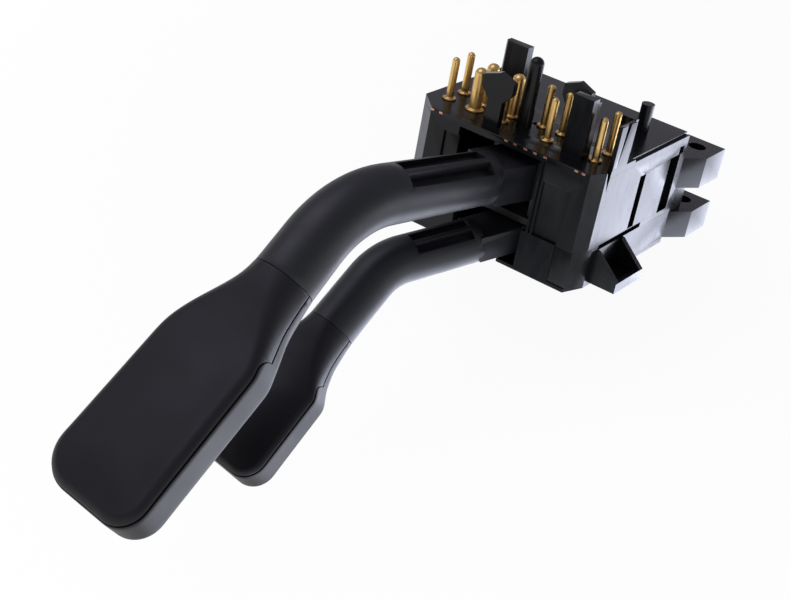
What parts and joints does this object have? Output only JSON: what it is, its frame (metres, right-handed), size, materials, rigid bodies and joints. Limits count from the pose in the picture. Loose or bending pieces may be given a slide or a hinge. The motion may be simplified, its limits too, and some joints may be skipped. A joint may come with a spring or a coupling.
{
  "type": "combination stalk switch",
  "caption": "Steering column stalk switch: two bent stalks with paddle grips swing and tilt in a two-storey housing with brass terminals and a clevis bolt mount.",
  "frame": {"origin": "Centre of the connector plate's flat top face.", "axes": "+Z is the way the terminals point, -Y is the front that the stalks leave by, +X is the side with the mounting ears' slanted faces and the gusset lug."},
  "size_m": [0.0721, 0.2008, 0.1007],
  "materials": {
    "housing_black": "moulded, slight sheen",
    "arm_black": "fine satin grain",
    "grip_black": "soft matte grain",
    "inner_plastic": "black acetal, low gloss",
    "terminal_brass": "bright, gold coloured",
    "copper_strip": "bare copper alloy",
    "steel": "plain"
  },
  "bodies": {
    "housing": {"connector_plate": "housing_black", "small_terminals": "terminal_brass", "large_terminals": "terminal_brass", "lead_frame": "copper_strip", "upper_housing": "housing_black", "divider_plate": "inner_plastic", "lower_housing": "housing_black", "bottom_cover": "housing_black", "housing_screws": "steel", "upper_detent_track": "inner_plastic", "upper_contact_strips": "copper_strip", "upper_pivot_pin": "steel", "lower_detent_track": "inner_plastic", "lower_contact_strips": "copper_strip", "lower_pivot_pin": "steel"},
    "upper_yoke": {"upper_carrier": "inner_plastic", "upper_tilt_pin": "steel", "upper_detent_spring": "steel"},
    "upper_detent": {"upper_detent_plunger": "steel"},
    "upper_stalk": {"upper_arm": "arm_black", "upper_front_grip": "grip_black", "upper_rear_grip": "grip_black", "upper_grip_screw": "steel", "upper_return_spring": "steel"},
    "upper_return": {"upper_return_plunger": "steel"},
    "upper_contacts": {"upper_contact_slider": "inner_plastic", "upper_contact_bridges": "copper_strip"},
    "lower_yoke": {"lower_carrier": "inner_plastic", "lower_tilt_pin": "steel", "lower_detent_spring": "steel"},
    "lower_detent": {"lower_detent_plunger": "steel"},
    "lower_stalk": {"lower_arm": "arm_black", "lower_front_grip": "grip_black", "lower_rear_grip": "grip_black", "lower_grip_screw": "steel", "lower_return_spring": "steel"},
    "lower_return": {"lower_return_plunger": "steel"},
    "lower_contacts": {"lower_contact_slider": "inner_plastic", "lower_contact_bridges": "copper_strip"}
  },
  "joints": [
    {"name": "upper_swing", "type": "hinge", "parent": "housing", "child": "upper_yoke", "pos_m": [0.00503, -0.00993, -0.01255], "axis": [0, 0, 1], "range_deg": [-12, 12]},
    {"name": "upper_tilt", "type": "hinge", "parent": "upper_yoke", "child": "upper_stalk", "pos_m": [0.00337, -0.01826, -0.01083], "axis": [0.9806, -0.1959, 0], "range_deg": [-6, 6], "stiffness_Nm_per_rad": 4},
    {"name": "upper_detent_plunge", "type": "slide", "parent": "upper_yoke", "child": "upper_detent", "axis": [0, -1, 0], "range_m": [0, 0.0006], "stiffness_N_per_m": 100, "springref_m": -0.002},
    {"name": "upper_return_plunge", "type": "slide", "parent": "upper_stalk", "child": "upper_return", "axis": [-0.1957, -0.9794, 0.0506], "range_m": [0, 0.0005], "stiffness_N_per_m": 100, "springref_m": -0.002},
    {"name": "upper_contact_slide", "type": "slide", "parent": "housing", "child": "upper_contacts", "axis": [1, 0, 0], "range_m": [-0.002, 0.002]},
    {"name": "lower_swing", "type": "hinge", "parent": "housing", "child": "lower_yoke", "pos_m": [0.00848, -0.01088, -0.0274], "axis": [0, 0, 1], "range_deg": [-8, 8]},
    {"name": "lower_tilt", "type": "hinge", "parent": "lower_yoke", "child": "lower_stalk", "pos_m": [0.00524, -0.01874, -0.02743], "axis": [0.9245, -0.3811, 0], "range_deg": [-5, 5], "stiffness_Nm_per_rad": 4},
    {"name": "lower_detent_plunge", "type": "slide", "parent": "lower_yoke", "child": "lower_detent", "axis": [0, -1, 0], "range_m": [0, 0.0006], "stiffness_N_per_m": 100, "springref_m": -0.002},
    {"name": "lower_return_plunge", "type": "slide", "parent": "lower_stalk", "child": "lower_return", "axis": [-0.3769, -0.9144, -0.1478], "range_m": [0, 0.0005], "stiffness_N_per_m": 100, "springref_m": -0.002},
    {"name": "lower_contact_slide", "type": "slide", "parent": "housing", "child": "lower_contacts", "axis": [1, 0, 0], "range_m": [-0.002, 0.002]}
  ],
  "couplings": [
    {"joint": "upper_contact_slide", "follows": "upper_swing", "m_per_rad": -0.009},
    {"joint": "lower_contact_slide", "follows": "lower_swing", "m_per_rad": -0.009}
  ]
}
